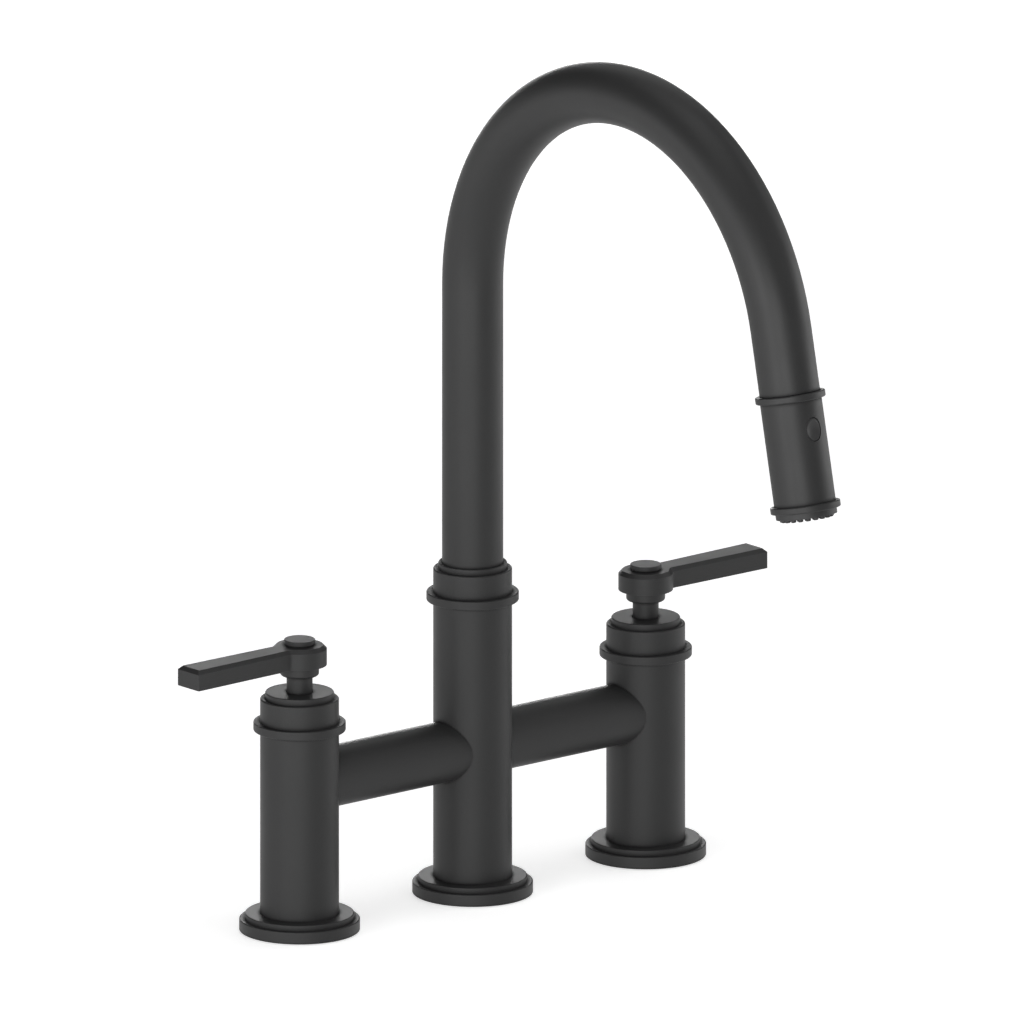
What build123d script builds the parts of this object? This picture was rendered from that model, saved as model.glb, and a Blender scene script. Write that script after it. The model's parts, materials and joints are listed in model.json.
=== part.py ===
from build123d import *
from math import cos, hypot, radians, sin, sqrt
import os

# Bridge kitchen faucet, in millimetres. +Z is up and the deck is z = 0. The origin is the centre of the
# middle column's foot. The three columns stand in a row along X, and the spout reaches out along -Y.

os.makedirs("parts", exist_ok=True)

# ---------------------------------------------------------------- driving dimensions

# Spout tube
spout_radius = 13.8
spout_wall = 1.8
spout_rise = 283.1                # height at which the bend starts
spout_bend_radius = 109.1
spout_bend_angle = 167.8
spout_end_length = 29.0
spout_lift = 2.3                  # from the mixing core up to the tube's lower end

# Columns, which grow outwards from the spout tube and its bearing
column_spacing = 101.6            # from the middle column to each handle column
handle_column_height = 93.0
spout_column_height = 136.2
upper_bushing_wall = 1.0
spout_nut_wall = 0.65             # of the spout nut's spigot
spout_column_wall = 2.17
handle_column_wall = 3.17
foot_step = 0.87                  # in from the column's side to its foot, which drops into the flange
foot_height = 4.0

# Threaded sockets in the columns' feet, for the shanks that pass through the deck
supply_socket_radius = 10.4
supply_socket_depth = 14.0
spout_socket_radius = 14.0
spout_socket_depth = 12.0

# Base flanges and deck gaskets
flange_overhang = 9.43            # out from the column's side
flange_height = 5.5
flange_step_overhang = 6.83
flange_step_height = 2.55
flange_edge_round = 0.45
gasket_inset = 2.3                # in from the flange's rim
gasket_width = 4.3
gasket_height = 2.4

# Trim rings and the caps above them
ring_overhang = 3.06              # out from the column's side
ring_height = 4.0
ring_edge_round = 0.45
bonnet_height = 10.85
bonnet_edge_round = 0.6
bonnet_spigot_length = 9.0
dust_collar_inset = 2.27          # in from the bonnet's side
dust_collar_height = 2.95
spout_nut_height = 10.9
spout_nut_spigot_length = 14.0
spout_collar_width = 1.65
spout_collar_height = 2.7
collar_edge_round = 0.5

# Bridge tubes
bridge_drop = 24.94                # from the handle columns' tops down to the tubes' axis
bridge_radius = 13.8
bridge_shoulder = 2.8             # in from the tube's side to its spigots
bridge_spigot_wall = 2.0

# Handle column's inside
feed_bore_radius = 7.0
chamber_drop = 7.0                # from the underside of the bridge spigot down to the chamber's floor

# Middle column's inside
hose_way_radius = 13.2
hose_clearance = 0.7
core_length = 56.0
core_waist_radius = 10.0
core_land_length = 12.0
core_outlet_radius = 1.7
core_outlet_wall = 0.7
core_outlet_offset = 10.3         # from the column's axis
core_outlet_length = 18.0

# Quarter-turn valves
barrel_wall = 2.25
housing_neck_wall = 2.47
housing_flange_height = 4.0
disc_radius = 7.7
disc_height = 3.0
disc_port_radius = 2.2
disc_port_offset = 3.9
seat_seal_height = 1.5
seat_seal_inset = 0.4             # in from the valve barrel's side
window_width = 8.0
window_height = 4.5
window_margin = 0.5               # between a window and the turned steps above and below it
drive_plate_height = 2.0
drive_tab_width = 2.0
drive_tab_length = 9.0
drive_tab_height = 1.0
spindle_waist_radius = 4.5
spindle_collar_height = 2.0
spindle_radius = 5.88
stem_seal_height = 16.0           # above the drive plate's underside
stem_seal_section = 1.5

# Handles
stem_length = 7.6                 # the stem that shows between collar and handle
adapter_radius = 8.8
adapter_height = 5.0
adapter_edge_round = 1.2
hub_radius = 12.33
hub_height = 9.2
lever_length = 65.5
lever_root_half_width = 6.45
lever_tip_half_width = 7.5
lever_edge_chamfer = 1.75
lever_corner_round = 1.8
lever_tip_round = 0.6
drive_square = 7.0
hub_pocket_depth = 4.0
screw_head_radius = 4.8
screw_head_clearance = 0.8
screw_head_height = 1.6
screw_radius = 2.0
screw_length = 13.0
screw_hex_radius = 1.7
screw_hex_depth = 1.1
handle_button_radius = 7.0
handle_button_height = 1.9
handle_button_groove_radius = 6.2
handle_button_groove_height = 0.7
handle_button_round = 0.35

# Spout bearings
bushing_length = 12.0
bushing_lip_height = 2.0
bushing_lip_radius = 12.4
upper_bushing_length = 10.0
spout_nut_lip = 2.0
friction_ring_section = 1.0
friction_ring_height = 6.0        # above the lower bushing's foot
clip_groove_depth = 0.8
clip_height = 1.6
clip_width = 1.7
clip_gap = 9.0

# Docking socket and magnets, in the spout's mouth
dock_length = 20.5
dock_recess = 0.5
dock_magnet_wall = 1.7
magnet_height = 3.6
dock_gap = 0.2                    # seam between the spout's mouth and the docked head

# Spray head, from the spout's mouth outwards
head_ring_overhang = 1.92         # out from the head's side
head_ring_height = 3.2
head_ring_round = 0.6
head_ring_web = 1.0
head_radius = 14.03
head_wall = 1.6
head_length = 47.0
face_inset = 0.08                 # in from the head's side
face_height = 2.75
face_floor = 1.2
face_spigot_wall = 0.8
face_edge_round = 0.2
nose_wall = 1.8
nose_length = 13.0
valve_bore_radius = 5.6
waterway_radius = 2.5

# Hose and its fitting
hose_radius = 6.3
hose_start = 24.0                 # height of the hose's lower cut, above the deck
hose_nut_wall = 0.8
hose_nut_flange_width = 1.45
hose_nut_flange_height = 2.5
hose_nut_length = 17.0
hose_insert_depth = 11.0
hose_nut_waterway_radius = 3.5
check_valve_length = 8.0

# Spray button, in the front of the head
button_drop = 16.9                # from the spout's mouth down to the button's centre
button_half_width = 4.0
button_half_height = 5.2
button_sink = 0.25                # of the button's face below the head's side
button_flange_margin = 1.2
button_flange_height = 0.9
button_travel = 1.2
button_dish_radius = 9.0          # of the hollow for a thumb in the button's face
button_dish_depth = 1.45          # of the hollow's floor below the head's side
button_dish_drop = 0.35           # of the hollow's middle below the button's
button_face_round = 0.2
spool_radius = 3.4
spool_waist_radius = 2.2
spool_reach = 6.5                 # past the head's axis, away from the button
spool_waist_length = 6.0
spring_bore_radius = 5.6
spring_bore_depth = 5.5
spring_end_gap = 0.1
spring_radius = 4.6
spring_wire_radius = 0.35
spring_turns = 4

# Spray face
nozzle_inset = 1.25               # of the outer ring's centres from the rubber mat's rim
nozzle_row_pitch = 3.2
outer_nozzle_count = 20
inner_nozzle_count = 14
nozzle_radius = 1.2
nozzle_tip_round = 0.5
nozzle_hole_radius = 0.33
nozzle_stand = 1.3
nozzle_mat_height = 1.0
aerator_radius = 5.2
aerator_rim = 1.0
aerator_hole_radius = 0.55
aerator_hole_circle = 2.8
aerator_hole_count = 8
aerator_height = 5.0

# Clearances
running_fit = 0.05                # radial, between a shaft and the bore that it turns in
seat_fit = 0.05                   # radial, between two fixed pieces
slide_gap = 0.4                   # radial, between the head's nose and its dock
button_gap = 0.3                  # round the button, in its window
end_gap = 0.3                     # between faces that only come near each other
stem_gap = 0.27                   # round the stem, where it leaves its collar
o_ring_squeeze_gap = 0.02         # between an O-ring and the walls of its groove
cutter_margin = 1.0               # how far a cut runs past the piece it cuts

# ---------------------------------------------------------------- places worked out from them

column_places = {"left": -column_spacing, "centre": 0.0, "right": column_spacing}
handle_sides = {"left": -1, "right": 1}

upper_bushing_radius = spout_radius + running_fit + upper_bushing_wall
spout_bore_radius = upper_bushing_radius + seat_fit + spout_nut_wall + seat_fit
column_radius = spout_bore_radius + spout_column_wall
chamber_radius = column_radius - handle_column_wall
foot_radius = column_radius - foot_step
flange_radius = column_radius + flange_overhang
flange_step_radius = column_radius + flange_step_overhang
gasket_radius = flange_radius - gasket_inset
ring_radius = column_radius + ring_overhang
dust_collar_radius = column_radius - dust_collar_inset
spout_collar_radius = spout_radius + seat_fit + spout_collar_width
bridge_spigot_radius = bridge_radius - bridge_shoulder
bridge_bore_radius = bridge_spigot_radius - bridge_spigot_wall

bridge_height = handle_column_height - bridge_drop
chamber_floor = bridge_height - bridge_spigot_radius - chamber_drop
bonnet_foot = handle_column_height - bonnet_spigot_length
bonnet_bottom = handle_column_height + ring_height
bonnet_top = bonnet_bottom + bonnet_height
dust_collar_top = bonnet_top + dust_collar_height
adapter_bottom = dust_collar_top + stem_length
hub_bottom = adapter_bottom + adapter_height
hub_top = hub_bottom + hub_height
hub_pocket_floor = hub_top - hub_pocket_depth
hub_pocket_radius = screw_head_radius + screw_head_clearance

disc_bottom = chamber_floor + seat_seal_height
moving_disc_bottom = disc_bottom + disc_height
drive_plate_bottom = moving_disc_bottom + disc_height
drive_plate_top = drive_plate_bottom + drive_plate_height
window_bottom = drive_plate_top + window_margin
spindle_collar_bottom = window_bottom + window_height + window_margin
disc_room_top = spindle_collar_bottom + spindle_collar_height + end_gap
disc_room_radius = disc_radius + running_fit
barrel_radius = disc_room_radius + barrel_wall
housing_neck_radius = spindle_radius + running_fit + housing_neck_wall
seat_seal_radius = barrel_radius - seat_seal_inset
stem_seal_middle = drive_plate_bottom + stem_seal_height

core_bottom = bridge_height - core_length / 2
core_top = core_bottom + core_length
core_radius = spout_bore_radius - seat_fit
spout_foot = core_top + spout_lift
spout_nut_bottom = spout_column_height + ring_height
spout_nut_top = spout_nut_bottom + spout_nut_height
spout_inner_radius = spout_radius - spout_wall
upper_bushing_top = spout_nut_top - spout_nut_lip
upper_bushing_bottom = upper_bushing_top - upper_bushing_length
hose_bore_radius = hose_radius + hose_clearance

# The spout's end: its axis leans outwards by what the bend leaves short of a half turn.
lean = radians(180 - spout_bend_angle)
head_direction = Vector(0, -sin(lean), -cos(lean))
bend_end = Vector(0, -spout_bend_radius * (1 + cos(lean)), spout_rise + spout_bend_radius * sin(lean))
mouth = bend_end + head_direction * spout_end_length

nut_radius = hose_radius + seat_fit + hose_nut_wall
hose_nut_flange_radius = nut_radius + hose_nut_flange_width
nose_bore_radius = nut_radius + seat_fit
nose_radius = nose_bore_radius + nose_wall
dock_bore_radius = nose_radius + slide_gap
dock_magnet_radius = dock_bore_radius + dock_magnet_wall
head_ring_radius = head_radius + head_ring_overhang
shell_inner_radius = head_radius - head_wall
head_core_radius = shell_inner_radius - seat_fit
face_radius = head_radius - face_inset
face_spigot_radius = face_radius - face_spigot_wall
mat_radius = face_spigot_radius - face_spigot_wall
outer_nozzle_circle = mat_radius - nozzle_inset
inner_nozzle_circle = outer_nozzle_circle - nozzle_row_pitch

# Distances along the head's axis, counted from the spout's mouth
ring_top = dock_gap
shell_top = ring_top + head_ring_height
lower_ring_top = shell_top + head_length
face_top = lower_ring_top + head_ring_height
face_bottom = face_top + face_height
nose_top = -nose_length
nut_top = nose_top - hose_nut_flange_height
nut_end = nut_top + hose_nut_length
hose_end = nut_top + hose_insert_depth
valve_top = nut_end + end_gap
valve_seat = valve_top + check_valve_length

# Distances from the head's axis towards the button
button_flange_half_width = button_half_width + button_flange_margin
button_flange_half_height = button_half_height + button_flange_margin
button_flange_top = sqrt(shell_inner_radius**2 - button_flange_half_width**2) - end_gap
button_flange_reach = button_flange_top - button_flange_height
button_face_reach = head_radius - button_sink
button_pocket_floor = button_flange_reach - button_travel - end_gap
spring_floor = button_flange_reach - spring_bore_depth - end_gap


# ---------------------------------------------------------------- shared helpers

def upright(x):
    """The plane through a column's axis: its X is the radius and its Y the height above the deck."""
    return Plane(origin=(x, 0, 0), x_dir=(1, 0, 0), z_dir=(0, -1, 0))


def head_profile():
    """The same for the spray head: its X is the radius and its Y the distance below the mouth."""
    return Plane(origin=mouth, x_dir=(1, 0, 0), z_dir=Vector(1, 0, 0).cross(head_direction))


def across_head(distance):
    """The plane square to the head's axis, at a distance below the spout's mouth."""
    return Plane(origin=mouth + head_direction * distance, x_dir=(1, 0, 0), z_dir=head_direction)


def button_plane(reach):
    """The plane that faces out of the head's front, at a distance from the head's axis."""
    front = head_direction.cross(Vector(1, 0, 0))
    centre = mouth + head_direction * button_drop + front * reach
    return Plane(origin=centre, x_dir=(1, 0, 0), z_dir=front)


def turn(plane, outline, mode=Mode.ADD):
    """Revolve an outline of (radius, height) corners about the plane's Y axis, into the open part."""
    with BuildSketch(plane) as profile:
        with BuildLine():
            Polyline(*outline, close=True)
        make_face()
    revolve(profile.sketch, axis=Axis(plane.origin, plane.y_dir), mode=mode)


def ring_outline(outer, inner, low, high):
    """The outline of a plain ring."""
    return [(inner, low), (outer, low), (outer, high), (inner, high)]


def rims(piece, plane, height, radius):
    """The circular edges of a turned piece, at one height and one radius of its profile plane."""
    found = []
    for edge in piece.edges().filter_by(GeomType.CIRCLE):
        level = (edge.arc_center - plane.origin).dot(plane.y_dir)
        if abs(level - height) < 0.01 and abs(edge.radius - radius) < 0.01:
            found.append(edge)
    return found


def save(piece, name):
    """Label a finished piece and write it to its own file."""
    piece.part.label = name
    export_step(piece.part, f"parts/{name}.step")
    print(f"{name}: {piece.part.volume:.0f} mm3")


# ---------------------------------------------------------------- base flanges, gaskets and rings

def make_base_flange(side, x):
    """A two-step escutcheon; its inner lip is clamped under the column's shoulder."""
    axle = upright(x)
    step_top = flange_height + flange_step_height
    with BuildPart() as flange:
        turn(axle, ring_outline(flange_radius, foot_radius + seat_fit, 0, flange_height))
        turn(axle, ring_outline(flange_step_radius, foot_radius + seat_fit, flange_height, step_top))
        turn(axle, ring_outline(column_radius + seat_fit, foot_radius, foot_height, step_top), Mode.SUBTRACT)
        gasket_seat = ring_outline(gasket_radius, gasket_radius - gasket_width, 0, gasket_height)
        turn(axle, gasket_seat, Mode.SUBTRACT)
        edges = rims(flange, axle, flange_height, flange_radius) + rims(flange, axle, 0, flange_radius)
        fillet(edges + rims(flange, axle, step_top, flange_step_radius), flange_edge_round)
    save(flange, f"base_flange_{side}")


for side, x in column_places.items():
    make_base_flange(side, x)

gasket_inner_radius = gasket_radius - gasket_width
with BuildPart() as deck_gaskets:
    for x in column_places.values():
        turn(upright(x), ring_outline(gasket_radius, gasket_inner_radius, 0, gasket_height))
save(deck_gaskets, "deck_gaskets")


def make_collar_ring(side, x, low, inner_radius):
    """A raised trim ring, trapped between the column's top and the cap above it."""
    axle = upright(x)
    with BuildPart() as ring:
        turn(axle, ring_outline(ring_radius, inner_radius, low, low + ring_height))
        edges = rims(ring, axle, low, ring_radius) + rims(ring, axle, low + ring_height, ring_radius)
        fillet(edges, ring_edge_round)
    save(ring, f"collar_ring_{side}")


make_collar_ring("left", column_places["left"], handle_column_height, chamber_radius)
make_collar_ring("centre", 0, spout_column_height, spout_bore_radius)
make_collar_ring("right", column_places["right"], handle_column_height, chamber_radius)


# ---------------------------------------------------------------- columns

def bore_bridge_port(x, inward):
    """The hole in a column's wall that takes a bridge tube's spigot; it cuts the open part."""
    with BuildSketch(Plane(origin=(x, 0, bridge_height), z_dir=(inward, 0, 0))) as port:
        Circle(bridge_spigot_radius + seat_fit)
    extrude(port.sketch, amount=column_radius + cutter_margin, mode=Mode.SUBTRACT)


def make_handle_column(side, inward):
    """A column with its socket, feed bore and valve chamber, and a port towards the middle column."""
    axle = upright(column_places[side])
    with BuildPart() as column:
        turn(axle, [(0, 0), (foot_radius, 0), (foot_radius, foot_height), (column_radius, foot_height),
                    (column_radius, handle_column_height), (0, handle_column_height)])
        turn(axle, [(0, 0), (supply_socket_radius, 0), (supply_socket_radius, supply_socket_depth),
                    (feed_bore_radius, supply_socket_depth), (feed_bore_radius, chamber_floor),
                    (chamber_radius, chamber_floor), (chamber_radius, handle_column_height),
                    (0, handle_column_height)], Mode.SUBTRACT)
        bore_bridge_port(column_places[side], inward)
    save(column, f"column_{side}")


make_handle_column("left", 1)
make_handle_column("right", -1)

with BuildPart() as column_centre:
    turn(upright(0), [(0, 0), (foot_radius, 0), (foot_radius, foot_height), (column_radius, foot_height),
                      (column_radius, spout_column_height), (0, spout_column_height)])
    turn(upright(0), [(0, 0), (spout_socket_radius, 0), (spout_socket_radius, spout_socket_depth),
                      (hose_way_radius, spout_socket_depth), (hose_way_radius, core_bottom),
                      (spout_bore_radius, core_bottom), (spout_bore_radius, spout_column_height),
                      (0, spout_column_height)], Mode.SUBTRACT)
    bore_bridge_port(0, -1)
    bore_bridge_port(0, 1)
save(column_centre, "column_centre")


# ---------------------------------------------------------------- bridge tubes

def make_bridge_tube(side, outward):
    """A horizontal tube, coped to both columns, with a spigot brazed through each column's wall."""
    start = Plane(origin=(0, 0, bridge_height), z_dir=(outward, 0, 0))
    below_tube = Plane.XY.offset(bridge_height - bridge_radius - cutter_margin)
    cut_height = 2 * (bridge_radius + cutter_margin)
    far = outward * column_spacing
    with BuildPart() as tube:
        with BuildSketch(start):
            Circle(bridge_radius)
        extrude(amount=column_spacing)
        with BuildSketch(below_tube):
            with Locations((0, 0), (far, 0)):
                Circle(column_radius + seat_fit)
        extrude(amount=cut_height, mode=Mode.SUBTRACT)
        with BuildSketch(start):
            Circle(bridge_spigot_radius)
        extrude(amount=column_spacing)
        with BuildSketch(below_tube):
            Circle(spout_bore_radius)
            with Locations((far, 0)):
                Circle(chamber_radius)
        extrude(amount=cut_height, mode=Mode.SUBTRACT)
        with BuildSketch(start):
            Circle(bridge_bore_radius)
        extrude(amount=column_spacing, mode=Mode.SUBTRACT)
    save(tube, f"bridge_tube_{side}")


for side, outward in handle_sides.items():
    make_bridge_tube(side, outward)


# ---------------------------------------------------------------- quarter-turn valves

def make_cartridge_housing(side, x):
    """The fixed shell of a valve: disc room, two outlet windows, a flange and a long neck."""
    axle = upright(x)
    housing_flange_radius = chamber_radius - seat_fit
    neck_top = bonnet_top - end_gap
    with BuildPart() as housing:
        turn(axle, [(0, disc_bottom), (barrel_radius, disc_bottom),
                    (barrel_radius, bonnet_foot - housing_flange_height),
                    (housing_flange_radius, bonnet_foot - housing_flange_height),
                    (housing_flange_radius, bonnet_foot), (housing_neck_radius, bonnet_foot),
                    (housing_neck_radius, neck_top), (0, neck_top)])
        turn(axle, [(0, disc_bottom), (disc_room_radius, disc_bottom), (disc_room_radius, disc_room_top),
                    (spindle_radius + running_fit, disc_room_top), (spindle_radius + running_fit, neck_top),
                    (0, neck_top)], Mode.SUBTRACT)
        with BuildSketch(Plane(origin=(x, 0, window_bottom))):
            Rectangle(window_width, 2 * (barrel_radius + cutter_margin))
        extrude(amount=window_height, mode=Mode.SUBTRACT)
    save(housing, f"cartridge_housing_{side}")


def port_disc(x, low, height, along_x):
    """A disc with two round ports, on X or on Y; it joins the open part."""
    step = (disc_port_offset, 0) if along_x else (0, disc_port_offset)
    with BuildSketch(Plane(origin=(x, 0, low))) as face:
        Circle(disc_radius)
        with Locations(step, (-step[0], -step[1])):
            Circle(disc_port_radius, mode=Mode.SUBTRACT)
    extrude(face.sketch, amount=height)


def make_discs(side, x):
    """The two ceramic discs; shut, the ports of the moving one lie a quarter turn from the fixed one's."""
    with BuildPart() as fixed_disc:
        port_disc(x, disc_bottom, disc_height, True)
    save(fixed_disc, f"fixed_disc_{side}")
    tab_slot = Plane(origin=(x, 0, drive_plate_bottom - drive_tab_height - end_gap))
    with BuildPart() as moving_disc:
        port_disc(x, moving_disc_bottom, disc_height, False)
        with BuildSketch(tab_slot):
            Rectangle(drive_tab_length + 2 * seat_fit, drive_tab_width + 2 * seat_fit)
        extrude(amount=drive_tab_height + end_gap, mode=Mode.SUBTRACT)
    save(moving_disc, f"moving_disc_{side}")


def make_spindle(side, x):
    """The turning stem: drive plate and tab, waist, retaining collar, O-ring groove and square top."""
    axle = upright(x)
    seal_floor = spindle_radius - stem_seal_section
    low = stem_seal_middle - stem_seal_section / 2 - o_ring_squeeze_gap
    high = stem_seal_middle + stem_seal_section / 2 + o_ring_squeeze_gap
    square_top = hub_pocket_floor - end_gap
    with BuildPart() as spindle:
        port_disc(x, drive_plate_bottom, drive_plate_height, False)
        turn(axle, [(0, drive_plate_top), (spindle_waist_radius, drive_plate_top),
                    (spindle_waist_radius, spindle_collar_bottom), (disc_radius, spindle_collar_bottom),
                    (disc_radius, spindle_collar_bottom + spindle_collar_height),
                    (spindle_radius, spindle_collar_bottom + spindle_collar_height),
                    (spindle_radius, low), (seal_floor, low), (seal_floor, high), (spindle_radius, high),
                    (spindle_radius, hub_bottom), (0, hub_bottom)])
        with BuildSketch(Plane(origin=(x, 0, drive_plate_bottom))):
            Rectangle(drive_tab_length, drive_tab_width)
        extrude(amount=-drive_tab_height)
        with BuildSketch(Plane(origin=(x, 0, hub_bottom))):
            Rectangle(drive_square, drive_square)
        extrude(amount=square_top - hub_bottom)
        with BuildSketch(Plane(origin=(x, 0, square_top))):
            Circle(screw_radius + seat_fit)
        extrude(amount=-screw_length - end_gap, mode=Mode.SUBTRACT)
    save(spindle, f"spindle_{side}")
    with BuildPart(Plane(origin=(x, 0, stem_seal_middle))) as stem_o_ring:
        section = stem_seal_section / 2 - o_ring_squeeze_gap
        Torus(spindle_radius - stem_seal_section / 2, section)
    save(stem_o_ring, f"stem_o_ring_{side}")


def make_bonnet(side, x):
    """The cap above the trim ring; its threaded spigot holds the valve housing down."""
    axle = upright(x)
    spigot_radius = chamber_radius - seat_fit
    with BuildPart() as bonnet:
        turn(axle, [(housing_neck_radius + seat_fit, bonnet_foot), (spigot_radius, bonnet_foot),
                    (spigot_radius, bonnet_bottom), (column_radius, bonnet_bottom),
                    (column_radius, bonnet_top), (housing_neck_radius + seat_fit, bonnet_top)])
        fillet(rims(bonnet, axle, bonnet_top, column_radius), bonnet_edge_round)
    save(bonnet, f"bonnet_{side}")
    with BuildPart() as collar:
        turn(axle, ring_outline(dust_collar_radius, spindle_radius + stem_gap, bonnet_top, dust_collar_top))
        fillet(rims(collar, axle, dust_collar_top, dust_collar_radius), collar_edge_round)
    save(collar, f"dust_collar_{side}")


for side in handle_sides:
    make_cartridge_housing(side, column_places[side])
    make_discs(side, column_places[side])
    make_spindle(side, column_places[side])
    make_bonnet(side, column_places[side])

with BuildPart() as seat_seals:
    for side in handle_sides:
        seal = ring_outline(seat_seal_radius, feed_bore_radius, chamber_floor, disc_bottom)
        turn(upright(column_places[side]), seal)
save(seat_seals, "seat_seals")


# ---------------------------------------------------------------- handles

def make_handle_adapter(side, x):
    """The small collar under the lever's hub, on the stem."""
    axle = upright(x)
    with BuildPart() as adapter:
        turn(axle, ring_outline(adapter_radius, spindle_radius + seat_fit, adapter_bottom, hub_bottom))
        fillet(rims(adapter, axle, adapter_bottom, adapter_radius), adapter_edge_round)
    save(adapter, f"handle_adapter_{side}")


def make_lever_handle(side, x, outward):
    """A round hub and a flat bar in one piece, that points away from the middle column when shut."""
    tip = outward * lever_length
    with BuildPart() as lever:
        with BuildSketch(Plane(origin=(x, 0, hub_bottom))) as plan:
            with BuildLine():
                Polyline((0, -lever_root_half_width), (tip, -lever_tip_half_width),
                         (tip, lever_tip_half_width), (0, lever_root_half_width), close=True)
            make_face()
            Circle(hub_radius)
            throats = plan.vertices().filter_by(
                lambda corner: abs(corner.Y) > 1 and hypot(corner.X, corner.Y) < hub_radius + 0.1)
            fillet(throats, lever_corner_round)
        extrude(amount=hub_height)
        chamfer(lever.faces().sort_by(Axis.Z)[-1].outer_wire().edges(), lever_edge_chamfer)
        corners = lever.edges().filter_by(
            lambda edge: abs(edge.center().X - x) > lever_length - lever_edge_chamfer
            and abs(edge.center().Y) > lever_tip_half_width - lever_edge_chamfer
            and abs((edge % 0.5).Z) > 0.4)
        fillet(corners, lever_tip_round)
        with BuildSketch(Plane(origin=(x, 0, hub_bottom))):
            Rectangle(drive_square + 2 * seat_fit, drive_square + 2 * seat_fit)
        extrude(amount=hub_height, mode=Mode.SUBTRACT)
        with BuildSketch(Plane(origin=(x, 0, hub_pocket_floor))):
            Circle(hub_pocket_radius)
        extrude(amount=hub_pocket_depth, mode=Mode.SUBTRACT)
    save(lever, f"lever_handle_{side}")


def make_handle_screw(side, x):
    """The screw that holds the lever down on the stem's square."""
    axle = upright(x)
    head_top = hub_pocket_floor + screw_head_height
    with BuildPart() as screw:
        turn(axle, [(0, hub_pocket_floor), (screw_head_radius, hub_pocket_floor),
                    (screw_head_radius, head_top), (0, head_top)])
        with BuildSketch(Plane(origin=(x, 0, hub_pocket_floor))):
            Circle(screw_radius)
        extrude(amount=-screw_length)
        with BuildSketch(Plane(origin=(x, 0, head_top))):
            RegularPolygon(screw_hex_radius, 6)
        extrude(amount=-screw_hex_depth, mode=Mode.SUBTRACT)
    save(screw, f"handle_screw_{side}")


def make_handle_button(side, x):
    """The round plug that covers the screw; a narrow groove shows under its head."""
    axle = upright(x)
    plug_radius = hub_pocket_radius - seat_fit
    plug_bottom = hub_pocket_floor + screw_head_height + end_gap
    head_bottom = hub_top + handle_button_groove_height
    head_top = head_bottom + handle_button_height
    with BuildPart() as button:
        turn(axle, [(0, plug_bottom), (plug_radius, plug_bottom), (plug_radius, hub_top),
                    (handle_button_groove_radius, hub_top), (handle_button_groove_radius, head_bottom),
                    (handle_button_radius, head_bottom), (handle_button_radius, head_top), (0, head_top)])
        fillet(rims(button, axle, head_top, handle_button_radius), handle_button_round)
    save(button, f"handle_button_{side}")


for side, outward in handle_sides.items():
    make_handle_adapter(side, column_places[side])
    make_lever_handle(side, column_places[side], outward)
    make_handle_screw(side, column_places[side])
    make_handle_button(side, column_places[side])


# ---------------------------------------------------------------- mixing core, in the middle column

core_land_top = core_bottom + core_land_length
core_waist_top = core_top - core_land_length
core_seal_middles = [core_bottom + core_land_length / 2, core_top - core_land_length / 2]
core_seal_floor = core_radius - stem_seal_section

with BuildPart() as mixing_core:
    turn(upright(0), [(hose_bore_radius, core_bottom), (core_radius, core_bottom),
                      (core_radius, core_land_top), (core_waist_radius, core_land_top),
                      (core_waist_radius, core_waist_top), (core_radius, core_waist_top),
                      (core_radius, core_top), (hose_bore_radius, core_top)])
    for middle in core_seal_middles:
        half = stem_seal_section / 2 + o_ring_squeeze_gap
        groove = ring_outline(core_radius + cutter_margin, core_seal_floor, middle - half, middle + half)
        turn(upright(0), groove, Mode.SUBTRACT)
    with BuildSketch(Plane(origin=(0, core_outlet_offset, core_bottom))):
        Circle(core_outlet_radius + core_outlet_wall)
    extrude(amount=-core_outlet_length)
    with BuildSketch(Plane(origin=(0, core_outlet_offset, core_land_top))):
        Circle(core_outlet_radius)
    extrude(amount=-core_outlet_length - core_land_length, mode=Mode.SUBTRACT)
save(mixing_core, "mixing_core")

with BuildPart() as core_o_rings:
    with Locations(*[(0, 0, middle) for middle in core_seal_middles]):
        Torus(core_radius - stem_seal_section / 2, stem_seal_section / 2 - o_ring_squeeze_gap)
save(core_o_rings, "core_o_rings")


# ---------------------------------------------------------------- spout nut and bearings

with BuildPart() as spout_nut:
    spigot_foot = spout_column_height - spout_nut_spigot_length
    bearing_radius = upper_bushing_radius + seat_fit
    turn(upright(0), [(bearing_radius, spigot_foot), (spout_bore_radius - seat_fit, spigot_foot),
                      (spout_bore_radius - seat_fit, spout_nut_bottom), (column_radius, spout_nut_bottom),
                      (column_radius, spout_nut_top), (spout_radius + end_gap, spout_nut_top),
                      (spout_radius + end_gap, upper_bushing_top), (bearing_radius, upper_bushing_top)])
    fillet(rims(spout_nut, upright(0), spout_nut_top, column_radius), bonnet_edge_round)
save(spout_nut, "spout_nut")

with BuildPart() as bushing_upper:
    turn(upright(0), ring_outline(upper_bushing_radius, spout_radius + running_fit,
                                  upper_bushing_bottom, upper_bushing_top))
save(bushing_upper, "bushing_upper")

friction_ring_level = core_top + friction_ring_height
with BuildPart() as bushing_lower:
    turn(upright(0), [(bushing_lip_radius, core_top), (spout_bore_radius - seat_fit, core_top),
                      (spout_bore_radius - seat_fit, core_top + bushing_length),
                      (spout_radius + running_fit, core_top + bushing_length),
                      (spout_radius + running_fit, core_top + bushing_lip_height),
                      (bushing_lip_radius, core_top + bushing_lip_height)])
    half = friction_ring_section / 2 + o_ring_squeeze_gap
    turn(upright(0), ring_outline(spout_radius + running_fit + friction_ring_section + o_ring_squeeze_gap,
                                  spout_radius, friction_ring_level - half, friction_ring_level + half),
         Mode.SUBTRACT)
save(bushing_lower, "bushing_lower")

with BuildPart(Plane.XY.offset(friction_ring_level)) as friction_ring:
    Torus(spout_radius + running_fit + friction_ring_section / 2, friction_ring_section / 2)
save(friction_ring, "friction_ring")


# ---------------------------------------------------------------- spout

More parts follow.
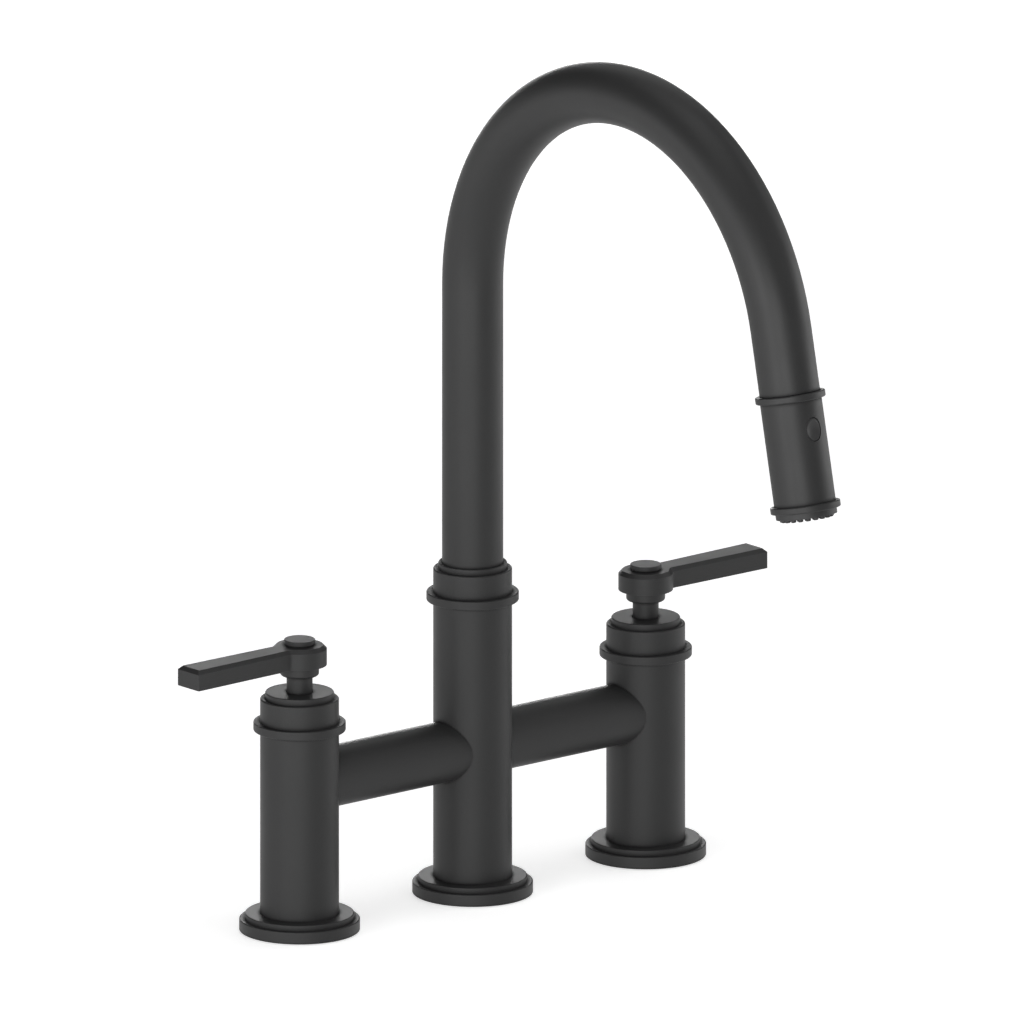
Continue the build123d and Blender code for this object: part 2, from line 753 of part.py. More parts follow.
def neck_line(start_height, end_length):
    """The spout's centre line: up from a height, round the bend, and straight on towards the mouth."""
    arch = Plane(origin=(0, 0, 0), x_dir=(0, -1, 0), z_dir=(-1, 0, 0))
    with BuildLine(arch) as line:
        rise = Line((0, start_height), (0, spout_rise))
        bend = CenterArc((spout_bend_radius, spout_rise), spout_bend_radius, 180, -spout_bend_angle)
        Line(bend @ 1, (bend @ 1) + (bend % 1) * end_length)
    return line.wire()


clip_level = upper_bushing_bottom - end_gap - clip_height
with BuildPart() as spout_tube:
    with BuildSketch(Plane.XY.offset(spout_foot)):
        Circle(spout_radius)
        Circle(spout_inner_radius, mode=Mode.SUBTRACT)
    sweep(path=neck_line(spout_foot, spout_end_length))
    turn(upright(0), ring_outline(spout_radius + cutter_margin, spout_radius - clip_groove_depth,
                                  clip_level - seat_fit, clip_level + clip_height + seat_fit), Mode.SUBTRACT)
save(spout_tube, "spout_tube")

with BuildPart() as spout_collar:
    collar_top = spout_nut_top + spout_collar_height
    turn(upright(0), ring_outline(spout_collar_radius, spout_radius + seat_fit, spout_nut_top, collar_top))
    fillet(rims(spout_collar, upright(0), collar_top, spout_collar_radius), collar_edge_round)
save(spout_collar, "spout_collar")

with BuildPart() as spout_clip:
    clip_inner = spout_radius - clip_groove_depth + seat_fit
    turn(upright(0), ring_outline(clip_inner + clip_width, clip_inner, clip_level, clip_level + clip_height))
    with BuildSketch(Plane(origin=(0, spout_radius, clip_level))):
        Rectangle(clip_gap, 2 * (clip_width + cutter_margin))
    extrude(amount=clip_height, mode=Mode.SUBTRACT)
save(spout_clip, "spout_clip")

with BuildPart() as dock_socket:
    turn(head_profile(), ring_outline(spout_inner_radius - seat_fit, dock_bore_radius,
                                      -dock_recess - dock_length, -dock_recess))
    turn(head_profile(), ring_outline(dock_magnet_radius, dock_bore_radius - cutter_margin,
                                      -dock_recess - magnet_height, -dock_recess), Mode.SUBTRACT)
save(dock_socket, "dock_socket")

with BuildPart() as dock_magnet:
    turn(head_profile(), ring_outline(dock_magnet_radius - seat_fit, dock_bore_radius,
                                      -dock_recess - magnet_height, -dock_recess))
save(dock_magnet, "dock_magnet")

with BuildPart() as spray_hose:
    with BuildSketch(Plane.XY.offset(hose_start)):
        Circle(hose_radius)
    sweep(path=neck_line(hose_start, spout_end_length + hose_end))
save(spray_hose, "spray_hose")


# ---------------------------------------------------------------- spray head

def oval_column(reach, half_width, half_height, depth, mode=Mode.ADD):
    """An oval block in line with the button, from a reach back towards the head's axis."""
    with BuildSketch(button_plane(reach)) as face:
        Ellipse(half_width, half_height)
    extrude(face.sketch, amount=-depth, mode=mode)


def round_bore(reach, radius, depth):
    """A round hole in line with the button, from a reach back through the head's axis."""
    with BuildSketch(button_plane(reach)) as face:
        Circle(radius)
    extrude(face.sketch, amount=-depth, mode=Mode.SUBTRACT)


def make_head_ring(name, low, profile):
    """A raised ring of the spray head, with both rims rounded."""
    axle = head_profile()
    with BuildPart() as ring:
        turn(axle, profile)
        edges = rims(ring, axle, low, head_ring_radius)
        edges += rims(ring, axle, low + head_ring_height, head_ring_radius)
        fillet(edges, head_ring_round)
    save(ring, name)


magnet_seat = ring_top + head_ring_web
make_head_ring("head_top_ring", ring_top,
               [(nose_radius + seat_fit, ring_top), (head_ring_radius, ring_top),
                (head_ring_radius, shell_top), (shell_inner_radius, shell_top),
                (shell_inner_radius, magnet_seat), (nose_radius + seat_fit, magnet_seat)])
make_head_ring("head_lower_ring", lower_ring_top,
               ring_outline(head_ring_radius, face_spigot_radius + seat_fit, lower_ring_top, face_top))

with BuildPart() as head_magnet:
    turn(head_profile(), ring_outline(shell_inner_radius - seat_fit, nose_radius + seat_fit,
                                      magnet_seat, magnet_seat + magnet_height))
save(head_magnet, "head_magnet")

with BuildPart() as head_shell:
    turn(head_profile(), ring_outline(head_radius, shell_inner_radius, shell_top, lower_ring_top))
    oval_column(head_radius + cutter_margin, button_half_width + button_gap, button_half_height + button_gap,
                head_radius + cutter_margin - button_flange_reach, Mode.SUBTRACT)
save(head_shell, "head_shell")

core_body_end = lower_ring_top - end_gap
with BuildPart() as head_core:
    core_top_level = magnet_seat + magnet_height
    turn(head_profile(), [(0, nose_top), (nose_radius, nose_top), (nose_radius, core_top_level),
                          (head_core_radius, core_top_level), (head_core_radius, core_body_end),
                          (0, core_body_end)])
    turn(head_profile(), [(0, nose_top), (nose_bore_radius, nose_top), (nose_bore_radius, valve_top),
                          (valve_bore_radius, valve_top), (valve_bore_radius, valve_seat),
                          (waterway_radius, valve_seat), (waterway_radius, core_body_end),
                          (0, core_body_end)], Mode.SUBTRACT)
    oval_column(head_radius, button_flange_half_width + button_gap, button_flange_half_height + button_gap,
                head_radius - button_pocket_floor, Mode.SUBTRACT)
    round_bore(head_radius, spring_bore_radius, head_radius - spring_floor)
    round_bore(head_radius, spool_radius + running_fit,
               head_radius + spool_reach + button_travel + end_gap)
save(head_core, "head_core")

with BuildPart() as hose_nut:
    turn(head_profile(), [(hose_radius + seat_fit, nut_top), (hose_nut_flange_radius, nut_top),
                          (hose_nut_flange_radius, nose_top), (nut_radius, nose_top), (nut_radius, nut_end),
                          (hose_nut_waterway_radius, nut_end), (hose_nut_waterway_radius, hose_end),
                          (hose_radius + seat_fit, hose_end)])
save(hose_nut, "hose_nut")

with BuildPart() as check_valve:
    turn(head_profile(), [(waterway_radius, valve_top), (valve_bore_radius - seat_fit, valve_top),
                          (valve_bore_radius - seat_fit, valve_seat), (waterway_radius, valve_seat)])
    with BuildSketch(across_head(valve_top + check_valve_length / 2)):
        Circle(waterway_radius)
        with PolarLocations(waterway_radius / 2, 3):
            Circle(waterway_radius / 4, mode=Mode.SUBTRACT)
    extrude(amount=1)
save(check_valve, "check_valve")

with BuildPart() as spray_button:
    oval_column(head_radius, button_half_width, button_half_height, head_radius - button_flange_reach)
    turn(head_profile(), [(0, 0), (button_face_reach, 0), (button_face_reach, head_length), (0, head_length)],
         Mode.INTERSECT)
    fillet(spray_button.faces().sort_by(Axis(mouth, button_plane(0).z_dir))[-1].edges(), button_face_round)
    dish_centre = button_plane(head_radius - button_dish_depth + button_dish_radius).origin
    with Locations(Plane(origin=dish_centre + head_direction * button_dish_drop)):
        Sphere(button_dish_radius, mode=Mode.SUBTRACT)
    oval_column(button_flange_top, button_flange_half_width, button_flange_half_height, button_flange_height)
save(spray_button, "spray_button")

with BuildPart() as diverter_spool:
    with BuildSketch(button_plane(button_flange_reach)):
        Circle(spool_radius)
    extrude(amount=-button_flange_reach - spool_reach)
    with BuildSketch(button_plane(spool_waist_length / 2)):
        Circle(spool_radius + cutter_margin)
        Circle(spool_waist_radius, mode=Mode.SUBTRACT)
    extrude(amount=-spool_waist_length, mode=Mode.SUBTRACT)
save(diverter_spool, "diverter_spool")

with BuildPart() as button_spring:
    spring_length = button_flange_reach - spring_floor - 2 * (spring_wire_radius + spring_end_gap)
    spring_foot = button_plane(spring_floor + spring_wire_radius + spring_end_gap)
    with BuildLine() as coil:
        Helix(spring_length / spring_turns, spring_length, spring_radius,
              center=spring_foot.origin, direction=spring_foot.z_dir)
    with BuildSketch(Plane(origin=coil.line @ 0, z_dir=coil.line % 0)):
        Circle(spring_wire_radius)
    sweep(path=coil.line, is_frenet=True)
save(button_spring, "button_spring")


# ---------------------------------------------------------------- spray face

def nozzle_circles():
    """The two rings of nozzles: radius of the circle and number of nozzles."""
    return ((outer_nozzle_circle, outer_nozzle_count), (inner_nozzle_circle, inner_nozzle_count))


face_floor_top = face_bottom - face_floor
with BuildPart() as spray_face:
    turn(head_profile(), [(0, lower_ring_top), (face_spigot_radius, lower_ring_top),
                          (face_spigot_radius, face_top), (face_radius, face_top),
                          (face_radius, face_bottom), (0, face_bottom)])
    turn(head_profile(), [(0, lower_ring_top), (mat_radius + seat_fit, lower_ring_top),
                          (mat_radius + seat_fit, face_floor_top), (0, face_floor_top)], Mode.SUBTRACT)
    fillet(rims(spray_face, head_profile(), face_bottom, face_radius), face_edge_round)
    with BuildSketch(across_head(face_floor_top)):
        Circle(aerator_radius + seat_fit)
        for circle, count in nozzle_circles():
            with PolarLocations(circle, count):
                Circle(nozzle_radius + seat_fit)
    extrude(amount=face_floor, mode=Mode.SUBTRACT)
save(spray_face, "spray_face")

with BuildPart() as spray_nozzles:
    with BuildSketch(across_head(face_floor_top - nozzle_mat_height)):
        Circle(mat_radius)
        Circle(aerator_radius + seat_fit, mode=Mode.SUBTRACT)
    extrude(amount=nozzle_mat_height)
    with BuildSketch(across_head(face_floor_top)):
        for circle, count in nozzle_circles():
            with PolarLocations(circle, count):
                Circle(nozzle_radius)
    extrude(amount=face_floor + nozzle_stand)
    tips = spray_nozzles.faces().group_by(Axis(mouth, head_direction))[-1]
    fillet([edge for tip in tips for edge in tip.edges()], nozzle_tip_round)
    with BuildSketch(across_head(face_bottom + nozzle_stand)):
        for circle, count in nozzle_circles():
            with PolarLocations(circle, count):
                Circle(nozzle_hole_radius)
    extrude(amount=-face_floor - nozzle_stand - nozzle_mat_height, mode=Mode.SUBTRACT)
save(spray_nozzles, "spray_nozzles")

with BuildPart() as aerator_insert:
    with BuildSketch(across_head(face_bottom - aerator_height)):
        Circle(aerator_radius)
    extrude(amount=aerator_height)
    with BuildSketch(across_head(face_bottom)):
        Circle(aerator_radius - aerator_rim)
    extrude(amount=-aerator_rim, mode=Mode.SUBTRACT)
    with BuildSketch(across_head(face_bottom)):
        Circle(aerator_hole_radius)
        with PolarLocations(aerator_hole_circle, aerator_hole_count):
            Circle(aerator_hole_radius)
    extrude(amount=-aerator_height, mode=Mode.SUBTRACT)
save(aerator_insert, "aerator_insert")
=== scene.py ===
# %% [markdown]
# # A bridge kitchen faucet in a plain studio
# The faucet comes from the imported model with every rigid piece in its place, in metres, with +Z up
# and the middle column's foot at the origin. This lesson leaves those pieces where they are. It sets up
# the camera, the floor and the lamps, gives each piece its finish, and makes the two things that change
# shape as the faucet moves: the hose, and the spring behind the spray button.

import json
from math import cos, degrees, pi, radians, sin, sqrt, tau

import bmesh
import bpy
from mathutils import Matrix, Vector


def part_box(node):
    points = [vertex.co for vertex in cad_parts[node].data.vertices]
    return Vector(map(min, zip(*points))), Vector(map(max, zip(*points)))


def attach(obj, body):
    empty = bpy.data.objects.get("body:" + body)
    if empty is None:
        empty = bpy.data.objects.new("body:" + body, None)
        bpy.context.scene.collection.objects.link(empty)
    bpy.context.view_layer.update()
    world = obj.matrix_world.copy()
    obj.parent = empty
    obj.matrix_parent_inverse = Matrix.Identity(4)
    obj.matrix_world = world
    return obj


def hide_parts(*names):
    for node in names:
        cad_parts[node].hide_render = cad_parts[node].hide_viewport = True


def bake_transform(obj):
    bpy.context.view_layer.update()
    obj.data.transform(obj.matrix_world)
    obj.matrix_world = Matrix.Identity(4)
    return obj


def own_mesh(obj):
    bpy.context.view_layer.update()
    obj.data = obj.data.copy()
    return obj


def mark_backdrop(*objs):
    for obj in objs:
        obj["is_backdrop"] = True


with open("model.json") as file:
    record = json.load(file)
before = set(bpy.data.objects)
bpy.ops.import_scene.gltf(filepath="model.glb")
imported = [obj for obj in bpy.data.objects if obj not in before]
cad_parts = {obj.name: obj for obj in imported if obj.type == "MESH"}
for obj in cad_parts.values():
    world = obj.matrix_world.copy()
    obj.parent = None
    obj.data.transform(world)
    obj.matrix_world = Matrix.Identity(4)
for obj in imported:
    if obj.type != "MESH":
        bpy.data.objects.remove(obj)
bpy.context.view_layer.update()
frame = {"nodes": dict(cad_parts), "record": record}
pieces = frame["nodes"]

# %% [markdown]
# ## Camera
# In the picture the three columns are exactly parallel and the nearest flange is no larger than the
# farthest one, so it is a parallel view. An orthographic camera gives that: only its direction and
# the width that it takes in matter, and its distance does not. The direction comes from the flanges,
# which show as ellipses about a quarter as high as wide, so the view looks 15 degrees down. It is
# turned 40 degrees to the left, which sets how far the bridge and the spout spread sideways.

# %% Camera
view_turn = radians(-40)
view_drop = radians(15)
pixels_per_metre = 2223.5
picture_side = 1024
centre_right, centre_up = 0.01771, 0.1707
camera_distance = 2.5
farthest_seen = 60


def direction_at(turn, lift):
    """The direction from the faucet that is turned so far to the right of its front, and lifted so far."""
    return Vector((sin(turn) * cos(lift), -cos(turn) * cos(lift), sin(lift)))


towards_camera = direction_at(view_turn, view_drop)
to_the_right = Vector((cos(view_turn), sin(view_turn), 0))
picture_up = towards_camera.cross(to_the_right)
picture_centre = to_the_right * centre_right + picture_up * centre_up

camera = bpy.data.objects.new("camera", bpy.data.cameras.new("camera"))
bpy.context.scene.collection.objects.link(camera)
camera.data.type = "ORTHO"
camera.data.ortho_scale = picture_side / pixels_per_metre
camera.location = picture_centre + towards_camera * camera_distance
camera.rotation_euler = towards_camera.to_track_quat("Z", "Y").to_euler()
camera.data.clip_end = farthest_seen
bpy.context.scene.camera = camera
print("the picture is", round(camera.data.ortho_scale * 1000), "mm wide")

# %% [markdown]
# ## Helpers for node trees
# Every finish here is a small tree of nodes round one Principled shader. The first helper adds a node,
# sets its switches, and fills its sockets: a number goes into a socket as it is, and another node's
# output is linked to it. It keeps each finish short enough to read at a glance. The second starts a
# finish, with places in metres on the piece, which the patterns hang on.

# %% Node helpers
def add(tree, kind, sockets=None, **switches):
    """One node in the tree; sockets maps a socket's name or number to a value or another node's output."""
    node = tree.nodes.new("ShaderNode" + kind)
    for name, value in switches.items():
        setattr(node, name, value)
    for name, value in (sockets or {}).items():
        if isinstance(value, bpy.types.NodeSocket):
            tree.links.new(value, node.inputs[name])
        else:
            node.inputs[name].default_value = value
    return node


def new_finish(name):
    """A finish with its node tree, its Principled shader, and places in metres to hang patterns on."""
    finish = bpy.data.materials.new(name)
    finish.use_nodes = True
    tree = finish.node_tree
    return finish, tree, tree.nodes["Principled BSDF"], add(tree, "TexCoord").outputs["Object"]


print("node helpers ready")

# %% [markdown]
# ## Sums, noise and colours
# A pattern is made from noises, sums of them, and blends of two colours. Blender's noise seldom strays
# far from one half, so a noise that feeds a colour or a roughness is first spread: its narrow band is
# stretched to the whole range wanted. Each noise takes the size of its features in metres, so it can be
# read against the real surface.

# %% Sums, noise and colours
noise_reach = 0.2


def calculate(tree, operation, *values):
    """The result of one sum in the tree, such as calculate(tree, "ADD", a, b)."""
    return add(tree, "Math", dict(enumerate(values)), operation=operation).outputs[0]


def rescale(tree, value, low, high, new_low, new_high):
    """value from low to high, turned into new_low to new_high and held there beyond the ends."""
    sockets = {"Value": value, "From Min": low, "From Max": high, "To Min": new_low, "To Max": new_high}
    return add(tree, "MapRange", sockets).outputs["Result"]


def spread(tree, value, new_low=0.0, new_high=1.0, reach=noise_reach):
    """Noise that stays within reach of one half, stretched to new_low to new_high."""
    return rescale(tree, value, 0.5 - reach, 0.5 + reach, new_low, new_high)


def noise(tree, place, feature, detail=2.0):
    """Soft noise round one half, with features about that many metres across."""
    return add(tree, "TexNoise", {"Vector": place, "Scale": 1 / feature, "Detail": detail}).outputs[0]


def blend_colours(tree, share, first, second):
    """The first colour where share is 0 and the second where it is 1."""
    mix = add(tree, "Mix", data_type="RGBA")
    for socket, value in ((mix.inputs[0], share), (mix.inputs[6], first), (mix.inputs[7], second)):
        if isinstance(value, bpy.types.NodeSocket):
            tree.links.new(value, socket)
        else:
            socket.default_value = (*value, 1) if isinstance(value, tuple) else value
    return mix.outputs[2]


print("a noise is spread from", 0.5 - noise_reach, "to", 0.5 + noise_reach)

# %% [markdown]
# ## Floor
# The picture has a clean white ground. A wide pale floor fills the whole view, because a camera that
# looks down never sees past it. The floor's own light is added only for what the camera, mirrors and
# glass see. It lifts the floor to white, keeps the soft shadow at the faucet's foot, and spreads no
# light over matt surfaces. The lamps light the floor less and less further out, so the added light grows
# with distance to make up for that. The floor lies a hair below the flanges, so no two faces coincide.

# %% Floor
floor_radius, floor_sides = 12, 96
floor_gap = 0.0004
paper_white = 0.8
floor_lift, floor_lift_far = 0.58, 0.93
lift_grows_from, lift_grows_to = 0.8, 3.5


def seen_not_lit(tree):
    """1 for rays from the camera and from mirrors or glass, 0 for rays that only gather light."""
    path = add(tree, "LightPath")
    seen = calculate(tree, "MAXIMUM", path.outputs["Is Camera Ray"], path.outputs["Is Glossy Ray"])
    return calculate(tree, "MAXIMUM", seen, path.outputs["Is Transmission Ray"])


def make_paper(name):
    """Matt pale paper, with light of its own that is only seen."""
    finish, tree, shader, place = new_finish(name)
    tree.nodes.remove(shader)
    paper = add(tree, "BsdfDiffuse", {"Color": (paper_white, paper_white, paper_white, 1)})
    distance = add(tree, "VectorMath", {0: place}, operation="LENGTH").outputs["Value"]
    lift = rescale(tree, distance, lift_grows_from, lift_grows_to, floor_lift, floor_lift_far)
    glow = add(tree, "Emission", {"Strength": calculate(tree, "MULTIPLY", seen_not_lit(tree), lift)})
    both = add(tree, "AddShader", {0: paper.outputs[0], 1: glow.outputs[0]})
    tree.links.new(both.outputs[0], tree.nodes["Material Output"].inputs["Surface"])
    return finish


def lay_floor():
    """A round pale floor, wide enough for any view."""
    mesh = bpy.data.meshes.new("floor")
    form = bmesh.new()
    bmesh.ops.create_circle(form, cap_ends=True, segments=floor_sides, radius=floor_radius)
    form.to_mesh(mesh)
    form.free()
    mesh.materials.append(make_paper("pale floor"))
    floor = bpy.data.objects.new("floor", mesh)
    floor.location.z = -floor_gap
    bpy.context.scene.collection.objects.link(floor)
    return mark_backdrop(floor)


lay_floor()
print("floor laid, lifted by", floor_lift, "near the faucet and", floor_lift_far, "far out")

# %% [markdown]
# ## World
# The world lights nothing. It is white from the horizon down, for the camera, mirrors and glass alone,
# so that a camera that looks level, past the floor's rim, still has a white ground. Above that it is
# black, because a coat this dark would mirror a white sky as a grey haze. The Standard view transform
# shows each colour as it is written.

# %% World
horizon_top = 0.02


def make_world(name):
    """A world that shows white up to the horizon and gives no light."""
    world = bpy.data.worlds.new(name)
    world.use_nodes = True
    tree = world.node_tree
    direction = add(tree, "SeparateXYZ", {0: add(tree, "TexCoord").outputs["Generated"]})
    at_horizon = calculate(tree, "LESS_THAN", direction.outputs["Z"], horizon_top)
    background = tree.nodes["Background"]
    background.inputs["Color"].default_value = (1, 1, 1, 1)
    tree.links.new(calculate(tree, "MULTIPLY", at_horizon, seen_not_lit(tree)), background.inputs["Strength"])
    return world


bpy.context.scene.world = make_world("studio")
bpy.context.scene.view_settings.view_transform = "Standard"
print("white up to", horizon_top, "above the horizon")

# %% [markdown]
# ## Lamps
# A black piece shows little but what it mirrors, so the lamps are placed by the stripes on the upright
# tubes. A tube's middle mirrors what stands behind the camera, and its edges mirror what stands far
# round to the sides. Wide strips from the camera round to the left give the even left half. No
# strip stands 40 to 80 degrees to the right, which leaves the dark stripe there. Two strips beyond that
# give the bright right edge, and two behind give the thin bright rims. Soft panels above light the
# flanges and the tops of the handles. Each group shares one level: the front strips are brightest,
# because what stands behind the camera is what the widest part of every tube mirrors. They are kept
# low enough that the off-white collar on the pulled-out head still shows its own colour.

# %% Lamps
lamp_target = Vector((0.0, -0.05, 0.2))
front_level, side_level, back_level, soft_level, top_level = 7.5, 3.5, 5.5, 1.0, 1.5


def hang_panel(name, turn, lift, away, wide, tall, level):
    """A soft panel, turn degrees right of the camera and lift degrees up, as bright as level times white."""
    lamp = bpy.data.lights.new(name, "AREA")
    lamp.shape = "RECTANGLE"
    lamp.size = wide
    lamp.size_y = tall
    lamp.energy = level * pi * wide * tall
    panel = bpy.data.objects.new(name, lamp)
    direction = direction_at(view_turn + radians(turn), radians(lift))
    panel.location = lamp_target + direction * away
    panel.rotation_euler = direction.to_track_quat("Z", "Y").to_euler()
    panel.visible_camera = False
    bpy.context.scene.collection.objects.link(panel)


# Each row: name, degrees right of the camera, degrees up, distance, width, height, and level.
panels = (
    ("strip_front", 0, 7, 2.4, 1.2, 0.9, front_level),
    ("strip_front_left", -38, 7, 2.4, 1.2, 0.9, front_level),
    ("strip_left", -76, 7, 2.4, 1.0, 0.9, side_level),
    ("strip_right", 100, 5, 2.4, 0.85, 0.75, side_level),
    ("strip_back_right", 120, 5, 2.4, 0.85, 0.75, side_level),
    ("strip_back_left", -170, 1.5, 2.4, 0.85, 0.44, back_level),
    ("strip_back", 180, 1.5, 2.4, 0.85, 0.44, back_level),
    ("panel_right", 60, 35, 1.8, 1.2, 1.0, soft_level),
    ("panel_back_right", 120, 35, 1.8, 1.2, 1.0, soft_level),
    ("panel_back", 180, 35, 1.8, 1.2, 1.0, soft_level),
    ("panel_above", 0, 88, 1.6, 1.4, 1.4, top_level),
)
for panel in panels:
    hang_panel(*panel)
print(len(panels), "panels hung")

# %% [markdown]
# ## Edges, crevices and bumps
# Three helpers serve the finishes. A coat or a moulding is a touch thinner and brighter along sharp edges; on
# the black coat that lighter edge colour is also a painted highlight, where rounded edges catch light. Those
# could be painted by hand, but a Bevel node finds them all: it feels for a corner within a fraction of a
# millimetre, and the softened direction that it gives doesn't match the true one there. The picture also
# shows a dark line wherever two pieces meet, such as under a ring or round the button, and the finishes paint
# that shade into their colour. An Ambient Occlusion node tells how much room there is within about two
# millimetres, from 1 on open faces down to 0 deep in a gap, which is where the painted shade goes. The third
# lays one bump on another.

# %% Edges, crevices and bumps
crevice_reach = 0.0022
match_when_flat, match_when_sharp = 0.995, 0.93
room_when_shut, room_when_open = 0.35, 0.92


def sharp_edges(tree, reach):
    """1 on a sharp edge, 0 on flat or gently curved faces."""
    softened = add(tree, "Bevel", {"Radius": reach}, samples=4).outputs[0]
    facing = add(tree, "NewGeometry").outputs["Normal"]
    match = add(tree, "VectorMath", {0: softened, 1: facing}, operation="DOT_PRODUCT").outputs["Value"]
    return rescale(tree, match, match_when_flat, match_when_sharp, 0.0, 1.0)


def openness(tree, own_faces_only=False):
    """1 where a face has room in front of it, 0 deep in a crevice, between any pieces or within one; the mask
    for painted shade.
    """
    room = add(tree, "AmbientOcclusion", {"Distance": crevice_reach}, samples=8, only_local=own_faces_only)
    return rescale(tree, room.outputs["AO"], room_when_shut, room_when_open, 0.0, 1.0)


def bump(tree, height, depth, below=None):
    """A bump that many metres deep, laid over the one below if there is one."""
    sockets = {"Height": height, "Strength": 1.0, "Distance": depth}
    if below is not None:
        sockets["Normal"] = below
    return add(tree, "Bump", sockets).outputs[0]


print("crevices are felt for within", round(crevice_reach * 1000, 2), "mm")

# %% [markdown]
# ## Satin black coating
# Nearly every piece that shows has the same baked black coat on brass. Seen close, such a coat is not flat:
# it flows into a very low orange peel, has a fine grain, and is a touch smoother along sharp edges, where its
# colour is also lighter, partly a thinner coat and partly a painted highlight. One noise for each of those,
# at its real size, feeds the colour, the bump and the roughness. A single grey with one gloss would look like
# plastic in the wide soft stripes. In crevices the coat is duller, and its colour is darkened there as
# painted shade, as in the picture.

# %% Satin black coating
# The edge colour stands for a thinner coat and a painted highlight on sharp edges.
coat_dark, coat_light, coat_edge_thin_and_highlight = (0.016, 0.016, 0.0162), (0.020, 0.020, 0.0202), (0.030, 0.030, 0.0304)
# Painted shade: the coat's colour deep in crevices.
painted_crevice_shade = (0.003, 0.003, 0.003)
coat_noise_reach = 0.15
coat_flow_size, coat_peel_size, coat_grain_size = 0.030, 0.0016, 0.00022
coat_peel_depth, coat_grain_depth = 0.000012, 0.000003
coat_edge_reach = 0.0005
coat_rough, rough_change, edge_polish, crevice_dullness = 0.5, 0.02, 0.05, 0.4
coat_gloss = 0.32


def make_black_coat(name):
    """Satin black, with orange peel, grain, edges lightened as a thinner coat and a painted highlight, and
    dull crevices darkened as painted shade.
    """
    finish, tree, shader, place = new_finish(name)
    flow = noise(tree, place, coat_flow_size)
    peel = noise(tree, place, coat_peel_size, detail=1.0)
    grain = noise(tree, place, coat_grain_size)
    edge = sharp_edges(tree, coat_edge_reach)
    room = openness(tree)
    plain = blend_colours(tree, spread(tree, grain, reach=coat_noise_reach), coat_dark, coat_light)
    # Lighter along sharp edges as a painted highlight, and darker deep in crevices as painted shade.
    colour = blend_colours(tree, room, painted_crevice_shade, blend_colours(tree, edge, plain, coat_edge_thin_and_highlight))
    uneven = spread(tree, flow, coat_rough - rough_change, coat_rough + rough_change, reach=coat_noise_reach)
    worn = calculate(tree, "MULTIPLY", edge, -edge_polish)
    dulled = rescale(tree, room, 0.0, 1.0, crevice_dullness, 0.0)
    rough = calculate(tree, "ADD", uneven, calculate(tree, "ADD", worn, dulled))
    relief = bump(tree, grain, coat_grain_depth, bump(tree, peel, coat_peel_depth))
    shader.inputs["Specular IOR Level"].default_value = coat_gloss
    tree.links.new(colour, shader.inputs["Base Color"])
    tree.links.new(rough, shader.inputs["Roughness"])
    tree.links.new(relief, shader.inputs["Normal"])
    return finish


black_coat = make_black_coat("satin black coating")
print("coating ready, roughness about", coat_rough)

# %% [markdown]
# ## Bare places in the coat
# The coat stops where pieces work against each other, and turned brass shows there. Cutting the mesh
# along that line would change a piece that has to stay as it is, so one material holds both surfaces,
# and a mask that is 1 on the bare places chooses between them. Turned brass has fine lathe marks. A
# noise with one dimension gives them: it changes along the axis and is the same all round.

# %% Bare places in the coat
brass_dark, brass_light = (0.52, 0.35, 0.15), (0.66, 0.47, 0.22)
bare_rough = (0.22, 0.34)
mark_width, mark_depth = 0.00009, 0.000006


def lathe_marks(tree, along, width):
    """Fine turning marks, at the same places all round, about that many metres apart."""
    sockets = {"W": calculate(tree, "DIVIDE", along, width), "Detail": 3.0, "Scale": 1.0}
    return add(tree, "TexNoise", sockets, noise_dimensions="1D").outputs[0]


def part_coated(name):
    """A black coat to cut bare places into, its tree, and the separate X, Y and Z on the piece."""
    finish = make_black_coat(name)
    tree = finish.node_tree
    return finish, tree, add(tree, "SeparateXYZ", {0: tree.nodes["Texture Coordinate"].outputs["Object"]})


def bare_brass(finish, bare, along, groove, depth):
    """Swaps the coat for turned brass where bare is 1; its bump is groove, or lathe marks, times depth."""
    tree = finish.node_tree
    marks = lathe_marks(tree, along, mark_width)
    brass = add(tree, "BsdfPrincipled", {"Metallic": 1.0})
    colour = blend_colours(tree, spread(tree, marks), brass_dark, brass_light)
    tree.links.new(colour, brass.inputs["Base Color"])
    tree.links.new(spread(tree, marks, *bare_rough), brass.inputs["Roughness"])
    tree.links.new(bump(tree, groove or marks, depth), brass.inputs["Normal"])
    coat = tree.nodes["Principled BSDF"]
    both = add(tree, "MixShader", {0: bare, 1: coat.outputs[0], 2: brass.outputs[0]})
    tree.links.new(both.outputs[0], tree.nodes["Material Output"].inputs["Surface"])
    return finish


finish_of_piece = {}
print("lathe marks are", round(mark_width * 1000, 2), "mm wide")

# %% [markdown]
# ## Threaded sockets
# The sockets in the columns' feet, where the threaded shanks screw in, are bare brass cut into a thread.
# The mask is worked out from places alone, a distance from the column's own axis and a height, so it
# stays right from every side. The thread is a wave that climbs by one pitch in each turn, made from the
# angle round the axis. It rises to one half and falls back, so the cut is half of thread_depth deep. It
# is only a bump, because it lies under the faucet, and real turns would take thousands of faces.

# %% Threaded sockets
thread_pitch, thread_depth = 0.00181, 0.0010
column_spacing = 0.1016
mask_margin = 0.0002


